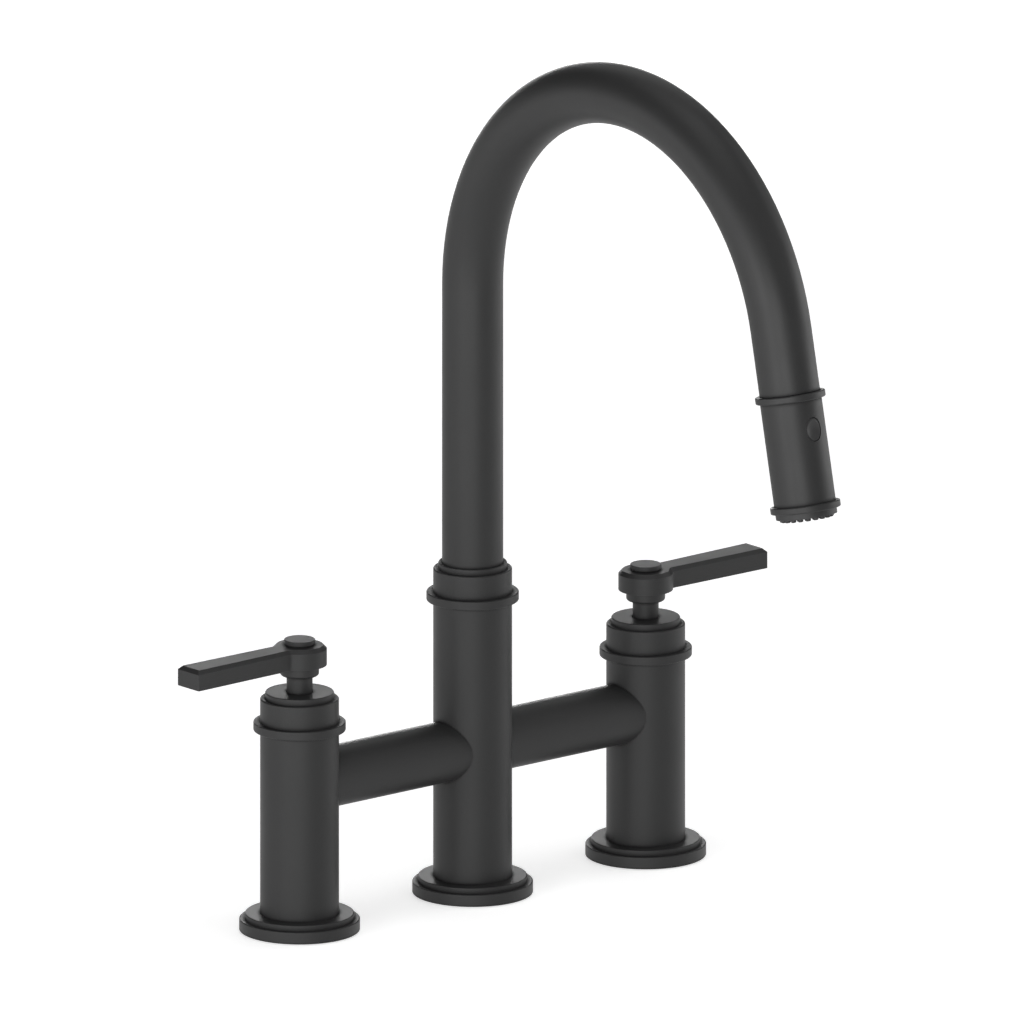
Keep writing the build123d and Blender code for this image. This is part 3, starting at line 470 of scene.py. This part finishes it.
def make_column_coat(name, column_x, socket_radius, socket_depth):
    """The coat, with threaded brass inside that column's socket."""
    finish, tree, spot = part_coated(name)
    off_centre = calculate(tree, "SUBTRACT", spot.outputs["X"], column_x)
    squares = calculate(tree, "ADD", calculate(tree, "MULTIPLY", off_centre, off_centre),
                        calculate(tree, "MULTIPLY", spot.outputs["Y"], spot.outputs["Y"]))
    inside = calculate(tree, "LESS_THAN", calculate(tree, "SQRT", squares), socket_radius + mask_margin)
    low = calculate(tree, "LESS_THAN", spot.outputs["Z"], socket_depth + mask_margin)
    turn = calculate(tree, "DIVIDE", calculate(tree, "ARCTAN2", spot.outputs["Y"], off_centre), tau)
    climb = calculate(tree, "SUBTRACT", calculate(tree, "DIVIDE", spot.outputs["Z"], thread_pitch), turn)
    thread = calculate(tree, "PINGPONG", climb, 0.5)
    bare = calculate(tree, "MULTIPLY", inside, low)
    return bare_brass(finish, bare, spot.outputs["Z"], thread, thread_depth)


# Each row: where the column stands along X, and its socket's radius and depth.
threaded_feet = {"column_left": (-column_spacing, 0.0104, 0.014), "column_centre": (0, 0.014, 0.012),
                 "column_right": (column_spacing, 0.0104, 0.014)}
for name, numbers in threaded_feet.items():
    finish_of_piece[name] = make_column_coat("coated " + name.replace("_", " "), *numbers)
print(len(threaded_feet), "columns with bare threaded sockets")

# %% [markdown]
# ## Spindles
# The valves' spindles are coated only on the neck that shows under the handle, and run as bare brass
# inside the valve. Here the mask is a height alone. The coat starts a little below the dust collar's top,
# so its lower edge is never seen.

# %% Spindles
coat_overlap = 0.002


def make_spindle_coat(name, coat_starts_at):
    """The coat above a height, and turned brass below it."""
    finish, tree, spot = part_coated(name)
    bare = calculate(tree, "LESS_THAN", spot.outputs["Z"], coat_starts_at)
    return bare_brass(finish, bare, spot.outputs["Z"], None, mark_depth)


neck_starts_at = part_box("dust_collar_left")[1].z - coat_overlap
for name in ("spindle_left", "spindle_right"):
    finish_of_piece[name] = make_spindle_coat("coated " + name.replace("_", " "), neck_starts_at)
print("the spindles' coat starts", round(neck_starts_at * 1000), "mm up")

# %% [markdown]
# ## Turned brass
# The valve housings, the mixing core and the hose nut are turned from brass bar and left bare. What
# gives turned brass away is its lathe marks: bands that run round the piece and change only along its
# axis. So the marks are fed the distance along that axis, which is upright for the valves and leans
# with the spray head for the hose nut. Broader bands and a little stain change the colour.

# %% Turned brass
turned_rough = (0.2, 0.38)
band_width, stain_size = 0.0011, 0.006
all_dark_at, all_light_at = 0.7, 1.3
spout_rise = 0.2831
spout_bend_radius = 0.1091
spout_bend = radians(167.8)
spout_end_length = 0.029
head_direction = Vector((0, -sin(spout_bend), cos(spout_bend)))


def make_turned_brass(name, axis):
    """Bare brass with lathe marks round the given axis."""
    finish, tree, shader, place = new_finish(name)
    along = add(tree, "VectorMath", {0: place, 1: axis}, operation="DOT_PRODUCT").outputs["Value"]
    fine = lathe_marks(tree, along, mark_width)
    broad = lathe_marks(tree, along, band_width)
    stain = noise(tree, place, stain_size, detail=3.0)
    share = rescale(tree, calculate(tree, "ADD", broad, stain), all_dark_at, all_light_at, 0.0, 1.0)
    tree.links.new(blend_colours(tree, share, brass_dark, brass_light), shader.inputs["Base Color"])
    tree.links.new(spread(tree, fine, *turned_rough), shader.inputs["Roughness"])
    tree.links.new(bump(tree, fine, mark_depth), shader.inputs["Normal"])
    shader.inputs["Metallic"].default_value = 1.0
    return finish


turned_brass = make_turned_brass("turned brass", (0, 0, 1))
finish_of_piece["hose_nut"] = make_turned_brass("turned brass, leaning", tuple(head_direction))
print("brass ready; the head leans", round(degrees(pi - spout_bend), 1), "degrees")

# %% [markdown]
# ## Steel and magnets
# The handle screws, the spout's clip and the button's spring are stainless steel, drawn or cold formed,
# so they have short scratches with no direction of their own. The two ring magnets have a nickel plate,
# which is warmer, smoother and a little cloudy. Both are one metal shader; only the sizes of the two
# noises and the colours differ, so one function makes both.

# %% Steel and magnets
scratch_depth = 0.000004


def make_plain_metal(name, dark, light, cloud_size, scratch_size, rough_low, rough_high):
    """Grey metal with soft clouds in its colour and fine scratches in its gloss."""
    finish, tree, shader, place = new_finish(name)
    cloud = noise(tree, place, cloud_size, detail=3.0)
    scratch = noise(tree, place, scratch_size, detail=4.0)
    tree.links.new(blend_colours(tree, spread(tree, cloud), dark, light), shader.inputs["Base Color"])
    tree.links.new(spread(tree, scratch, rough_low, rough_high), shader.inputs["Roughness"])
    tree.links.new(bump(tree, scratch, scratch_depth), shader.inputs["Normal"])
    shader.inputs["Metallic"].default_value = 1.0
    return finish


steel = make_plain_metal("stainless steel", dark=(0.45, 0.45, 0.46), light=(0.6, 0.6, 0.6),
                         cloud_size=0.004, scratch_size=0.00015, rough_low=0.22, rough_high=0.4)
nickel = make_plain_metal("nickel plate", dark=(0.56, 0.54, 0.49), light=(0.68, 0.66, 0.61),
                          cloud_size=0.003, scratch_size=0.0004, rough_low=0.16, rough_high=0.28)
print("metals ready:", steel.name, "and", nickel.name)

# %% [markdown]
# ## Ceramic, rubber and plastics
# The rest are moulded or pressed. Each gets a tiny surface texture at its real size: pressed alumina is
# nearly white with a fine sugary grain, rubber has a matt bloom, the nozzles' silicone is smoother, the
# bearings' acetal is a cloudy off-white, and black plastic copies the spark-worn steel of its mould.
# They are all the same recipe with other numbers, so one function and one short list make them. Each is
# darkened as painted shade only in a piece's own crevices, such as those between the nozzles: the docking
# collar sits in the spout's mouth at rest, and has to be free of that painted shade once the head is pulled
# out.

# %% Ceramic, rubber and plastics
moulded_edge_reach = 0.0003
edge_share, edge_times = 0.5, 1.3
# Painted shade: deep in a piece's own crevices the colour falls to this share of the dark colour.
crevice_shade_times = 0.3


def make_moulded(name, dark, light, cloud_size, grain_size, grain_depth, rough_low, rough_high, gloss):
    """A moulded or pressed material: cloudy, with a fine grain, paler edges and painted shade in its own
    crevices.
    """
    finish, tree, shader, place = new_finish(name)
    cloud = noise(tree, place, cloud_size, detail=3.0)
    grain = noise(tree, place, grain_size, detail=3.0)
    edge = calculate(tree, "MULTIPLY", sharp_edges(tree, moulded_edge_reach), edge_share)
    plain = blend_colours(tree, spread(tree, cloud), dark, light)
    edged = blend_colours(tree, edge, plain, tuple(min(1.0, edge_times * v) for v in light))
    room = openness(tree, own_faces_only=True)
    # Painted shade in the piece's own crevices.
    colour = blend_colours(tree, room, tuple(crevice_shade_times * v for v in dark), edged)
    tree.links.new(colour, shader.inputs["Base Color"])
    shader.inputs["Specular IOR Level"].default_value = gloss
    tree.links.new(spread(tree, grain, rough_low, rough_high), shader.inputs["Roughness"])
    tree.links.new(bump(tree, grain, grain_depth), shader.inputs["Normal"])
    return finish


# Each row: dark and light colour; cloud size, grain size and depth; lowest and highest roughness; gloss.
moulded = {
    "ceramic": ((0.70, 0.68, 0.62), (0.78, 0.76, 0.71),
                0.002, 0.00006, 0.000002, 0.18, 0.3, 0.6),
    "rubber": ((0.014, 0.014, 0.014), (0.024, 0.024, 0.023),
               0.002, 0.00012, 0.000008, 0.55, 0.75, 0.3),
    "nozzle_rubber": ((0.020, 0.020, 0.0205), (0.026, 0.026, 0.0265),
                      0.003, 0.0001, 0.000005, 0.5, 0.62, 0.35),
    "acetal": ((0.66, 0.65, 0.60), (0.74, 0.73, 0.69),
               0.004, 0.0002, 0.000004, 0.3, 0.42, 0.4),
    "black_plastic": ((0.022, 0.022, 0.0225), (0.028, 0.028, 0.0285),
                      0.004, 0.00016, 0.000006, 0.46, 0.58, 0.32),
}
finish_of_slot = {name: make_moulded(name.replace("_", " "), *numbers) for name, numbers in moulded.items()}
finish_of_slot.update(black_finish=black_coat, brass=turned_brass, steel=steel, magnet=nickel)
print(sorted(finish_of_slot))

# %% [markdown]
# ## Put the finishes on
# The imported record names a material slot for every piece. So the finish follows from the record, apart
# from the few pieces above that have a version of their own. The solid hose has a slot that isn't in
# the list. It gets the coat for now, and is hidden once the braid and liner below stand for it.

# %% Put the finishes on
slot_of_piece = {row["node"]: row["material_slot"] for row in frame["record"]["subparts"]}
for name, piece in pieces.items():
    finish = finish_of_piece.get(name) or finish_of_slot.get(slot_of_piece[name], black_coat)
    piece.data.materials.clear()
    piece.data.materials.append(finish)
print("finishes on", len(pieces), "pieces, of which", len(finish_of_piece), "have their own")

# %% [markdown]
# ## The hose's line
# The hose runs inside the spout: up from the middle column's foot, round the bend and straight out
# towards the spray head. Any point on it is found from its distance along this line. The distances are
# the same ones that the solid spout was built with, so the hose stays in the middle of its tube. The
# whole line lies in the plane X = 0, so sideways is square to it everywhere.

# %% The hose's line
hose_start = 0.024
rise_length = spout_rise - hose_start
bend_end_at = rise_length + spout_bend_radius * spout_bend
mouth_at = bend_end_at + spout_end_length
sideways = Vector((1, 0, 0))


def on_the_bend(turned):
    """The point on the spout's bend after turning that far from upright."""
    return Vector((0, -spout_bend_radius * (1 - cos(turned)), spout_rise + spout_bend_radius * sin(turned)))


bend_end = on_the_bend(spout_bend)


def on_the_line(distance):
    """The point at that distance from the hose's cut end, and the direction of the hose there."""
    if distance <= rise_length:
        return Vector((0, 0, hose_start + distance)), Vector((0, 0, 1))
    if distance <= bend_end_at:
        turned = (distance - rise_length) / spout_bend_radius
        return on_the_bend(turned), Vector((0, -sin(turned), cos(turned)))
    return bend_end + head_direction * (distance - bend_end_at), head_direction


print("the spout's mouth is", round(mouth_at * 1000), "mm along the hose, at",
      [round(v, 4) for v in on_the_line(mouth_at)[0]])

# %% [markdown]
# ## Braid
# A pull-out hose is a soft rubber tube in a braided nylon sleeve. Flat strands climb round it in both
# directions, and each passes over one strand and under the next. The surface's height follows from the
# two families of strands: across a strand it is a low arch, and along it the strand rises and falls
# from crossing to crossing. The higher family of the two is the one that shows. A bump map could draw
# the same pattern, but this is real geometry, because the hose is seen from close by when the head is
# pulled out.

# %% Braid
strands = 14
strand_fill = 0.96
braid_pitch = 0.0028
strand_lift = 0.00022
strand_thickness = 0.0003


def braid_height(share_round, along):
    """How far the braid stands above its lowest level, at a share of a turn and a distance along."""
    right = strands * share_round + along / braid_pitch
    left = strands * share_round - along / braid_pitch
    heights = []
    for across, other, sign in ((right, left, 1), (left, right, -1)):
        middle = across % 1 - 0.5
        arch = sqrt(max(0.0, 1 - (2 * middle / strand_fill) ** 2))
        wave = sign * cos(pi * other) * (-1) ** int(across // 1)
        heights.append(strand_lift * wave + strand_thickness * arch)
    return max(heights)


print(strands, "strands each way, crossing every", round(braid_pitch * 1000, 2), "mm")

# %% [markdown]
# ## A sleeve from rings
# A curve with a bevel would give a tube, but a smooth one. So the hose is made from rings of points
# round its line, where every point has a radius of its own. Faces join each ring to the next, along the
# outside and back along the inside, which gives a closed sleeve with a real wall. Each corner also keeps
# its place in the braid as a UV, because the finish has to follow the strands when the mesh stretches.

# %% A sleeve from rings
def ring_of_points(distance, radii):
    """A ring round the hose's line, one point for each radius."""
    centre, direction = on_the_line(distance)
    other_side = direction.cross(sideways)
    count = len(radii)
    return [centre + (sideways * cos(tau * k / count) + other_side * sin(tau * k / count)) * radius
            for k, radius in enumerate(radii)]


def join_rings(first, second, count):
    """The faces between two rings of count points each, which start at those point numbers."""
    return [(first + k, first + (k + 1) % count, second + (k + 1) % count, second + k) for k in range(count)]


def new_piece(name, points, faces, finish):
    """A smooth piece from its points and faces, in that finish."""
    mesh = bpy.data.meshes.new(name)
    mesh.from_pydata(points, [], faces)
    mesh.shade_smooth()
    mesh.materials.append(finish)
    piece = bpy.data.objects.new(name, mesh)
    bpy.context.scene.collection.objects.link(piece)
    return piece


def make_sleeve(name, outer_rings, inner_rings, finish, labels):
    """A closed sleeve from its outer and inner rings; a label is an outer ring's distance in the braid."""
    count = len(outer_rings[0])
    rings = outer_rings + inner_rings[::-1]
    faces = []
    for row in range(len(rings)):
        faces += join_rings(row * count, (row + 1) % len(rings) * count, count)
    sleeve = new_piece(name, [point for ring in rings for point in ring], faces, finish)
    layer = sleeve.data.uv_layers.new(name="braid")
    labels = list(labels) + [labels[-1]] * len(inner_rings) + [labels[0]]
    for face in sleeve.data.polygons:
        row, k = divmod(face.index, count)
        corners = ((k, row), (k + 1, row), (k + 1, row + 1), (k, row + 1))
        for corner, (step, level) in zip(face.loop_indices, corners):
            layer.data[corner].uv = (step / count, labels[level])
    return sleeve


print("a ring of 12 points takes", len(join_rings(0, 12, 12)), "faces to the next")

# %% [markdown]
# ## Braid finish
# The sleeve's finish works in the braid's own coordinates, a share of a turn and a distance along the
# hose, which travel with the mesh when it stretches. Like braid_height, it works out which family of
# strands shows at each place. Each strand is a flat band of fine filaments, so the bump has thin lines
# along the strands, and neighbouring strands differ slightly in tone.

# %% Braid finish
nylon_dark, nylon_light = (0.018, 0.018, 0.019), (0.07, 0.07, 0.072)
nylon_dark_at, nylon_light_at = 0.3, 1.0
nylon_rough, nylon_gloss = (0.42, 0.6), 0.35
filaments_in_a_strand = 14.0
filament_depth = 0.00004
strand_tone = 0.35
fuzz_size = 0.00012


def make_braid(name):
    """Charcoal nylon in flat strands of fine filaments."""
    finish, tree, shader, place = new_finish(name)
    spot = add(tree, "SeparateXYZ", {0: add(tree, "UVMap", uv_map="braid").outputs[0]})
    turns = calculate(tree, "MULTIPLY", spot.outputs["X"], float(strands))
    along = calculate(tree, "DIVIDE", spot.outputs["Y"], braid_pitch)
    right = calculate(tree, "ADD", turns, along)
    left = calculate(tree, "SUBTRACT", turns, along)
    wave = calculate(tree, "COSINE", calculate(tree, "MULTIPLY", left, pi))
    swap = calculate(tree, "COSINE", calculate(tree, "MULTIPLY", calculate(tree, "FLOOR", right), pi))
    right_shows = calculate(tree, "GREATER_THAN", calculate(tree, "MULTIPLY", wave, swap), 0.0)
    across = add(tree, "Mix", {0: right_shows, 2: left, 3: right}, data_type="FLOAT").outputs[0]
    lines = {"W": calculate(tree, "MULTIPLY", across, filaments_in_a_strand), "Scale": 1.0, "Detail": 1.0}
    filaments = add(tree, "TexNoise", lines, noise_dimensions="1D").outputs[0]
    strand = calculate(tree, "FLOOR", across)
    tone = add(tree, "TexWhiteNoise", {"W": strand}, noise_dimensions="1D").outputs[0]
    tones = calculate(tree, "ADD", filaments, calculate(tree, "MULTIPLY", tone, strand_tone))
    shade = rescale(tree, tones, nylon_dark_at, nylon_light_at, 0.0, 1.0)
    fuzz = noise(tree, place, fuzz_size)
    tree.links.new(blend_colours(tree, shade, nylon_dark, nylon_light), shader.inputs["Base Color"])
    tree.links.new(spread(tree, fuzz, *nylon_rough), shader.inputs["Roughness"])
    tree.links.new(bump(tree, filaments, filament_depth), shader.inputs["Normal"])
    shader.inputs["Specular IOR Level"].default_value = nylon_gloss
    return finish


braid = make_braid("braided nylon")
print("braid finish ready, with about", round(filaments_in_a_strand), "filaments in a strand")

# %% [markdown]
# ## How the hose grows
# When the spray head is pulled out, hose follows it out of the spout. A mesh can't feed itself through a
# tube, so the short straight stretch at the spout's mouth is the part that would grow instead, from an upper
# end with the spout to a lower end with the head. If the blend between them starts and ends gently, a point
# in the middle moves by a smooth step of the pull. Worked backwards, that tells where each ring has to rest
# for the braid to be even once it is pulled out; that resting place is all that is worked out here.

# %% How the hose grows
pull_length = 0.2
grip_inside, hose_end_inside = 0.0155, 0.0045
grip_at = mouth_at - grip_inside
hose_end_at = mouth_at - hose_end_inside
stretch = grip_at - bend_end_at
halvings = 40


def pulled_place(distance):
    """Where a point of the growing stretch ends up when the head is pulled right out."""
    share = min(1.0, max(0.0, (distance - bend_end_at) / stretch))
    return distance + pull_length * share * share * (3 - 2 * share)


def rest_place(pulled):
    """The inverse of pulled_place, found by halving."""
    low, high = bend_end_at, hose_end_at
    for _ in range(halvings):
        middle = (low + high) / 2
        if pulled_place(middle) < pulled:
            low = middle
        else:
            high = middle
    return (low + high) / 2


pulled_length = pulled_place(hose_end_at) - bend_end_at
print(round(stretch * 1000, 1), "mm of hose grows to", round((stretch + pull_length) * 1000, 1), "mm")

# %% [markdown]
# ## The hose, in two lengths
# The long part, from the column's foot to the end of the bend, stays where it is. The growing stretch
# below it has many more rings, packed close together and out of sight in the spout at rest, because the
# braid has to be as fine when they are drawn apart. Each length is a braided sleeve with a rubber liner
# inside, and together they stand for the solid hose.

# %% The hose, in two lengths
hose_radius, liner_radius, liner_bore = 0.0063, 0.0050, 0.0036
ring_gap = 0.0004
neck_rings = 200
neck_around, mouth_around, liner_around = 56, 112, 32
liner_every = 8


def make_hose_length(name, distances, braid_places, around, coarse):
    """One length of sleeve and liner; distances are for the braid's rings, coarse for the plain ones."""
    lowest = hose_radius - strand_lift - strand_thickness
    outer = [ring_of_points(distance, [lowest + braid_height(k / around, place) for k in range(around)])
             for distance, place in zip(distances, braid_places)]
    inner = [ring_of_points(distance, [liner_radius] * around) for distance in coarse]
    sleeve = make_sleeve("braid_" + name, outer, inner, braid, braid_places)
    outer = [ring_of_points(distance, [liner_radius] * liner_around) for distance in coarse]
    inner = [ring_of_points(distance, [liner_bore] * liner_around) for distance in coarse]
    liner = make_sleeve("liner_" + name, outer, inner, finish_of_slot["rubber"], coarse)
    for piece, slot in ((sleeve, "braid"), (liner, "rubber")):
        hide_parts("spray_hose")
    return sleeve, liner


neck = [bend_end_at * k / neck_rings for k in range(neck_rings + 1)]
for piece in make_hose_length("in_neck", neck, neck, neck_around, neck):
    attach(piece, "spout")
growing_rings = round(pulled_length / ring_gap)
pulled = [bend_end_at + pulled_length * k / growing_rings for k in range(growing_rings + 1)]
resting = [rest_place(place) for place in pulled]
coarse = resting[::liner_every] + resting[-1:]
for piece in make_hose_length("at_mouth", resting, pulled, mouth_around, coarse):
    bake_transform(piece)
print("hose:", neck_rings, "rings in the neck and", growing_rings, "packed at the mouth")

# %% [markdown]
# ## Button spring
# A small spring behind the spray button pushes it back. Its end turns are closed and lie flat, and the
# open turns between them share the rest of the height, so the coil's height is not even along its
# length. The Screw modifier would climb evenly, so the height is worked out turn by turn instead.

# %% Button spring
button_direction = Vector((0, head_direction.z, -head_direction.y))
button_beyond_mouth = 0.0169
button_middle = on_the_line(mouth_at)[0] + head_direction * button_beyond_mouth
spring_floor = 0.00429
spring_room = 0.0058
wire_radius, wire_inset = 0.00035, 0.00045
turns_open, turns_closed = 2, 1
turns_in_all = turns_open + 2 * turns_closed


def coil_height(turn):
    """Height of the wire's middle above its lowest, after that many turns."""
    closed_rise = 2 * wire_radius
    open_rise = spring_room - 2 * wire_inset - 2 * closed_rise * turns_closed
    steps = ((turns_closed, closed_rise), (turns_open, open_rise / turns_open), (turns_closed, closed_rise))
    height = 0.0
    for turns, rise in steps:
        height += rise * min(max(turn, 0), turns)
        turn -= turns
    return height


print("the coil is", round((coil_height(turns_in_all) + 2 * wire_radius) * 1000, 2), "mm high")

# %% [markdown]
# ## Sweep the wire
# The coil is a tube swept along that rising circle: a ring of points round the wire at each small step,
# joined to the next as in the hose, with a flat cap on each cut end. It rides with the spray head.

# %% Sweep the wire
spring_radius = 0.0046
steps_in_a_turn, around_wire = 48, 12


def make_spring(name):
    """The coil as a tube along its rising circle."""
    steps = turns_in_all * steps_in_a_turn
    foot = button_middle + button_direction * (spring_floor + wire_inset)
    other_side = button_direction.cross(sideways)
    points, faces = [], []
    for step in range(steps + 1):
        turn = step / steps_in_a_turn
        outwards = sideways * cos(tau * turn) + other_side * sin(tau * turn)
        centre = foot + outwards * spring_radius + button_direction * coil_height(turn)
        for k in range(around_wire):
            angle = tau * k / around_wire
            points.append(centre + (outwards * cos(angle) + button_direction * sin(angle)) * wire_radius)
    for step in range(steps):
        faces += join_rings(step * around_wire, (step + 1) * around_wire, around_wire)
    faces += [tuple(range(around_wire))[::-1], tuple(range(steps * around_wire, (steps + 1) * around_wire))]
    return new_piece(name, points, faces, steel)


spring = make_spring("coil_spring")
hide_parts("button_spring")
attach(spring, "spray_head")
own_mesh(spring)
print("spring with", turns_in_all, "turns")
